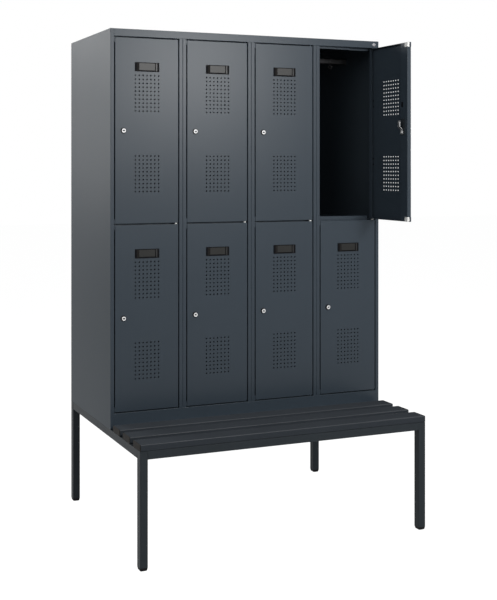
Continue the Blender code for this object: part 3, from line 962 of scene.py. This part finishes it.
def cam_shape(shape, door):
    """Plug with a bright face and a keyhole whose inside is painted black as painted shade, the cranked cam
    on its rear end, and the cam's screw.
    """
    face = rosette_height - plug_sink
    rings = [
        circle(plug_radius, -(door.rear - door.front) - nut_height - sheet),
        circle(plug_radius, face - lock_edge),
        circle(plug_radius - lock_edge, face),
        oval(keyhole_half, face),
        oval(keyhole_half, face - keyhole_depth),
    ]
    loft(shape, rings, door.lock_front @ Matrix.Rotation(math.pi / 2, 4, "Z"))
    # Faces inside the keyhole get the black finish as painted shade of the recess, and the rest of the front
    # gets nickel.
    for found in shape.faces:
        middle = found.calc_center_median() - door.lock
        rise = door.front - middle.y
        if rise > 0:
            in_keyhole = rise < face - lock_edge and math.hypot(middle.x, middle.z) < keyhole_half[1]
            found.material_index = 1 if in_keyhole else 2
    near = door.rear + nut_height + cam_gap
    middle = near + cam_thickness / 2
    stepped = middle + cam_crank_step
    points = [Vector(point) for point in (
        (middle, -cam_tail),
        (middle, cam_hub - cam_bend),
        (middle + cam_bend / 2, cam_hub),
        (stepped - cam_bend / 2, cam_hub + cam_crank_run),
        (stepped, cam_hub + cam_crank_run + cam_bend),
        (stepped, cam_reach - 2 * cam_half_width),
        (stepped, cam_reach),
    )]
    offsets = []
    for index in range(len(points)):
        along = points[min(index + 1, len(points) - 1)] - points[max(index - 1, 0)]
        offsets.append(left_of(along.normalized()) * cam_thickness / 2)

    def place(i, j):
        x = door.lock.x + (2 * i - 1) * cam_half_width
        pair = (points[j] + offsets[j], points[j] - offsets[j])
        return [Vector((x, point.x, door.lock.z + point.y)) for point in pair]

    tip = points[-1] + offsets[-1] - Vector((0, cam_half_width))
    hole = (Vector((door.lock.x, tip.x, door.lock.z + tip.y)), cam_hole_radius)
    thick_sheet(shape, place, {(0, j) for j in range(len(points) - 1)}, [hole])
    screw = aimed(Vector((door.lock.x, near + cam_thickness, door.lock.z)), (0, 1, 0))
    turned(shape, screw, (
        (cam_screw_radius, -sheet),
        (cam_screw_radius, cam_screw_height - lock_edge),
        (cam_screw_radius - lock_edge, cam_screw_height),
        (cam_screw_radius / 2, cam_screw_height),
        (cam_screw_radius / 2, cam_screw_height / 3),
    ))


def add_doors():
    """Eight doors, all of one set of meshes, with what rides on each."""
    parts = (
        ("door_pan", door_mesh, paint, "body_steel", "door"),
        ("door_buffers", buffer_shape, white_plastic, None, None),
        ("channel_plug", channel_plug_shape, black_plastic, None, None),
        ("label_holder", label_holder_shape, black_plastic, "label_plastic", "label_frame"),
        ("label_card", card_shape, card_plastic, None, None),
        ("label_strip_left", partial(label_strip_shape, side=-1), cap_plastic, None, None),
        ("label_strip_right", partial(label_strip_shape, side=1), strip_plastic, None, None),
        ("lock_back", lock_back_shape, frame_paint, None, None),
        ("lock_rosette", rosette_shape, black_plastic, None, None),
        ("lock_housing", barrel_shape, nickel, "lock_metal", "lock_barrel"),
        ("lock_plug_and_cam", cam_shape, (cam_zinc, black_plastic, nickel), "lock_metal", "lock_cam"),
    )
    shared = {}
    for tier in tiers:
        for column in columns:
            name = f"{tier}_{column}"
            door = Door(name)
            for kind, build, finishes, slot, node in parts:
                if kind not in shared:
                    shared[kind] = bmesh.new()
                    build(shared[kind], door)
                body = f"{'lock_cam' if node == 'lock_cam' else 'door'}_{name}"
                stands_for = [f"{node}_{name}"] if node else []
                item = piece(f"{kind}_{name}", shared[kind], finishes, body, slot, stands_for, door.matrix)
                shared[kind] = item.data


# Bench

def stretch_between(start, end):
    """Matrix at a start that points to an end, and the length between them."""
    way = Vector(end) - Vector(start)
    return aimed(start, way), way.length


def tube(shape, start, end, size=tube_half):
    """Square tube with rounded corners between two points on its axis."""
    matrix, length = stretch_between(start, end)
    profile = ((tube_end, 0), (0, tube_end), (0, length - tube_end), (tube_end, length))
    rings = [rounded((size - ease,) * 2, tube_corner - ease, along) for ease, along in profile]
    loft(shape, rings, matrix)


def weld(shape, start, end):
    """Low rippled weld bead between two points."""
    matrix, length = stretch_between(start, end)
    rings = []
    for step in range(weld_steps + 1):
        ripple = 1 + weld_ripple_share * math.sin(step * weld_ripple_turn)
        rings.append(circle(weld_radius * ripple, length * step / weld_steps, weld_segments))
    loft(shape, rings, matrix)


def bench_frame():
    """Legs that stand full height with the rails butted and welded between them."""
    low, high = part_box("bench_frame")
    foot_top = low.z
    middle = high.z - tube_half
    xs = (low.x + tube_half, high.x - tube_half)
    front, rear = low.y + tube_half, high.y - tube_half
    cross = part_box("door_upper_1")[0].y + tube_half
    shape = bmesh.new()
    for x in xs:
        for y in (front, rear):
            tube(shape, (x, y, foot_top), (x, y, high.z))
        tube(shape, (x, front + tube_half, middle), (x, rear - tube_half - joint_gap, middle))
        tube(shape, (x, rear - 2 * tube_half, middle), (x, rear, middle), tube_half - joint_inset)
    inner = (xs[0] + tube_half, xs[1] - tube_half)
    for y in (front, cross, rear):
        tube(shape, (inner[0], y, middle), (inner[1], y, middle))
    under = high.z - 2 * tube_half
    reach = weld_reach_share * tube_half
    for x in inner:
        for y in (front, cross, rear):
            weld(shape, (x, y - reach, under), (x, y + reach, under))
    for x in xs:
        for y in (front + tube_half, rear - tube_half):
            weld(shape, (x - reach, y, under), (x + reach, y, under))
    piece("bench_frame_tubes", shape, frame_paint, root, "frame_steel", ["bench_frame"])


def slat(index):
    """Seat slat with a top painted lighter as painted light from above, shinier top edges that catch a
    highlight, sides painted darker as painted shade, and a fitted cap at each end.
    """
    name = f"slat_{index}"
    low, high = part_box(name)
    centre = (low + high) / 2
    half = ((high.y - low.y) / 2, (high.z - low.z) / 2)
    length = (high.x - low.x) / 2
    cap = (
        (slat_cap_edge, 0), (0, slat_cap_edge), (0, slat_cap),
        (slat_seam, slat_cap + slat_seam / 2), (slat_seam, slat_cap + slat_seam),
        (0, slat_cap + 1.5 * slat_seam),
    )
    stations = [(ease, along - length) for ease, along in cap]
    stations += [(ease, -along) for ease, along in reversed(stations)]
    shape = bmesh.new()
    rings = [
        rounded([size - ease for size in half], slat_corner - ease, along, slat_corner_steps)
        for ease, along in stations
    ]
    loft(shape, rings, aimed(centre, (1, 0, 0)))
    # Ends take the cap finish. Faces below the rounded top edges take the darker side finish as painted
    # shade, the rounded top edges take the glossier highlight finish, and the top takes the lighter finish
    # as painted light.
    for face in shape.faces:
        middle = face.calc_center_median() - centre
        if abs(middle.x) > length - slat_cap:
            face.material_index = 1
        elif middle.z < half[1] - slat_corner:
            face.material_index = 3
        elif abs(middle.y) > half[0] - slat_corner:
            face.material_index = 2
    finishes = (slat_top_painted_light, cap_plastic, slat_edge_highlight, slat_side_painted_shade)
    piece(name + "_board", shape, finishes, root, "slat_plastic", [name])


def foot(name):
    """Plastic tube foot with a thin collar under the leg and a rounded sole."""
    low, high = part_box(name)
    centre = (low + high) / 2
    half = (high.x - low.x) / 2
    height = high.z - low.z
    rings = []
    for step in range(bend_steps + 1):
        turn = math.pi / 2 * step / bend_steps
        inset = foot_edge * (1 - math.sin(turn))
        rings.append(rounded((half - inset,) * 2, foot_corner, foot_edge * (1 - math.cos(turn))))
    rings.append(rounded((half,) * 2, foot_corner, height - foot_collar))
    for rise in (foot_flare_height - foot_collar, 0):
        rings.append(rounded((half + foot_flare,) * 2, foot_corner, height + rise))
    shape = bmesh.new()
    loft(shape, rings, Matrix.Translation((centre.x, centre.y, low.z)))
    piece(name + "_plug", shape, foot_plastic, root, "foot_plastic", [name])


def badge():
    """Plain round disc at the right end of the fascia."""
    low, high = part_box("top_panel")
    place = (high.x - side_flange - badge_radius, low.y, high.z - badge_drop)
    shape = bmesh.new()
    turned(shape, aimed(place, (0, -1, 0)), (
        (badge_radius, -sheet / 2),
        (badge_radius, badge_height / 2),
        (badge_radius - badge_height, badge_height),
        (badge_radius / 2, badge_height),
    ))
    piece("fascia_disc", shape, disc_metal, root)


# Surroundings

def seen_directly(nodes, links):
    """1 where a camera, mirror or glass ray arrives, else 0."""
    path = nodes.new("ShaderNodeLightPath")
    seen = path.outputs["Is Camera Ray"]
    for ray in ("Is Glossy Ray", "Is Transmission Ray"):
        either = nodes.new("ShaderNodeMath")
        either.operation = "MAXIMUM"
        links.new(seen, either.inputs[0])
        links.new(path.outputs[ray], either.inputs[1])
        seen = either.outputs["Value"]
    return seen


def mix(nodes, links, share, first, second):
    """Shader that shows the second shader by a share, and the first by the rest."""
    mixed = nodes.new("ShaderNodeMixShader")
    links.new(share, mixed.inputs["Fac"])
    links.new(first, mixed.inputs[1])
    links.new(second, mixed.inputs[2])
    return mixed.outputs["Shader"]


def add_floor():
    """Pale floor that reads white and keeps the object's shadow."""
    shape = bmesh.new()
    bmesh.ops.create_grid(shape, x_segments=1, y_segments=1, size=floor_reach)
    mesh = bpy.data.meshes.new("floor")
    shape.to_mesh(mesh)
    shape.free()
    floor = add_object("floor", mesh)
    material = finish("floor_white", floor_tone, 0.9, specular=0.0)
    nodes, links = material.node_tree.nodes, material.node_tree.links
    glow = nodes.new("ShaderNodeEmission")
    glow.inputs["Strength"].default_value = floor_glow
    share = nodes.new("ShaderNodeMath")
    share.operation = "MULTIPLY"
    share.inputs[1].default_value = floor_share
    links.new(seen_directly(nodes, links), share.inputs[0])
    plain, shine = nodes["Principled BSDF"].outputs["BSDF"], glow.outputs["Emission"]
    mixed = mix(nodes, links, share.outputs["Value"], plain, shine)
    links.new(mixed, nodes["Material Output"].inputs["Surface"])
    mesh.materials.append(material)


def add_world():
    """White surroundings where they are seen, and an even soft light from them."""
    world = bpy.data.worlds.new("studio")
    bpy.context.scene.world = world
    world.use_nodes = True
    nodes, links = world.node_tree.nodes, world.node_tree.links
    light = nodes["Background"]
    light.inputs["Color"].default_value = (*sky_tone, 1)
    light.inputs["Strength"].default_value = world_light
    seen = nodes.new("ShaderNodeBackground")
    seen.inputs["Color"].default_value = (1, 1, 1, 1)
    ways = (light.outputs["Background"], seen.outputs["Background"])
    mixed = mix(nodes, links, seen_directly(nodes, links), *ways)
    links.new(mixed, nodes["World Output"].inputs["Surface"])


def add_lamp(name, place, target, size, power, spread_angle=180):
    """Soft square lamp aimed at a point."""
    data = bpy.data.lights.new(name, "AREA")
    data.shape = "RECTANGLE"
    data.size, data.size_y = size
    data.energy = power
    data.spread = math.radians(spread_angle)
    lamp = add_object(name, data)
    lamp.location = place
    lamp.rotation_euler = (Vector(target) - Vector(place)).to_track_quat("-Z", "Y").to_euler()


def add_camera():
    """Camera at the photograph's angle, with the shift that its framing needs."""
    data = bpy.data.cameras.new("camera")
    data.sensor_width = sensor
    data.lens = focal_pixels / photo_height * sensor
    data.shift_x = (photo_centre[0] - principal_point[0]) / photo_height
    data.shift_y = (principal_point[1] - photo_centre[1]) / photo_height
    camera = add_object("camera", data)
    camera.location = camera_place
    camera.rotation_euler = (math.pi / 2, 0, math.radians(camera_turn))
    bpy.context.scene.camera = camera


side_wall("side_wall_left")
side_wall("side_wall_right", mirror=True)
top_panel()
bottom_panel()
for number in (1, 2, 3):
    partition(number)
for column in columns:
    mid_shelf(column)
    for tier in tiers:
        coat_rail(f"coat_rail_{tier}_{column}")
back_wall()
hinge_bushes()
add_doors()
bench_frame()
for number in (1, 2, 3):
    slat(number)
for end in ("front", "rear"):
    for side in ("left", "right"):
        foot(f"foot_{end}_{side}")
badge()

add_floor()
add_world()
for lamp in lamps:
    add_lamp(*lamp)
add_camera()
bpy.context.scene.view_settings.view_transform = "Standard"
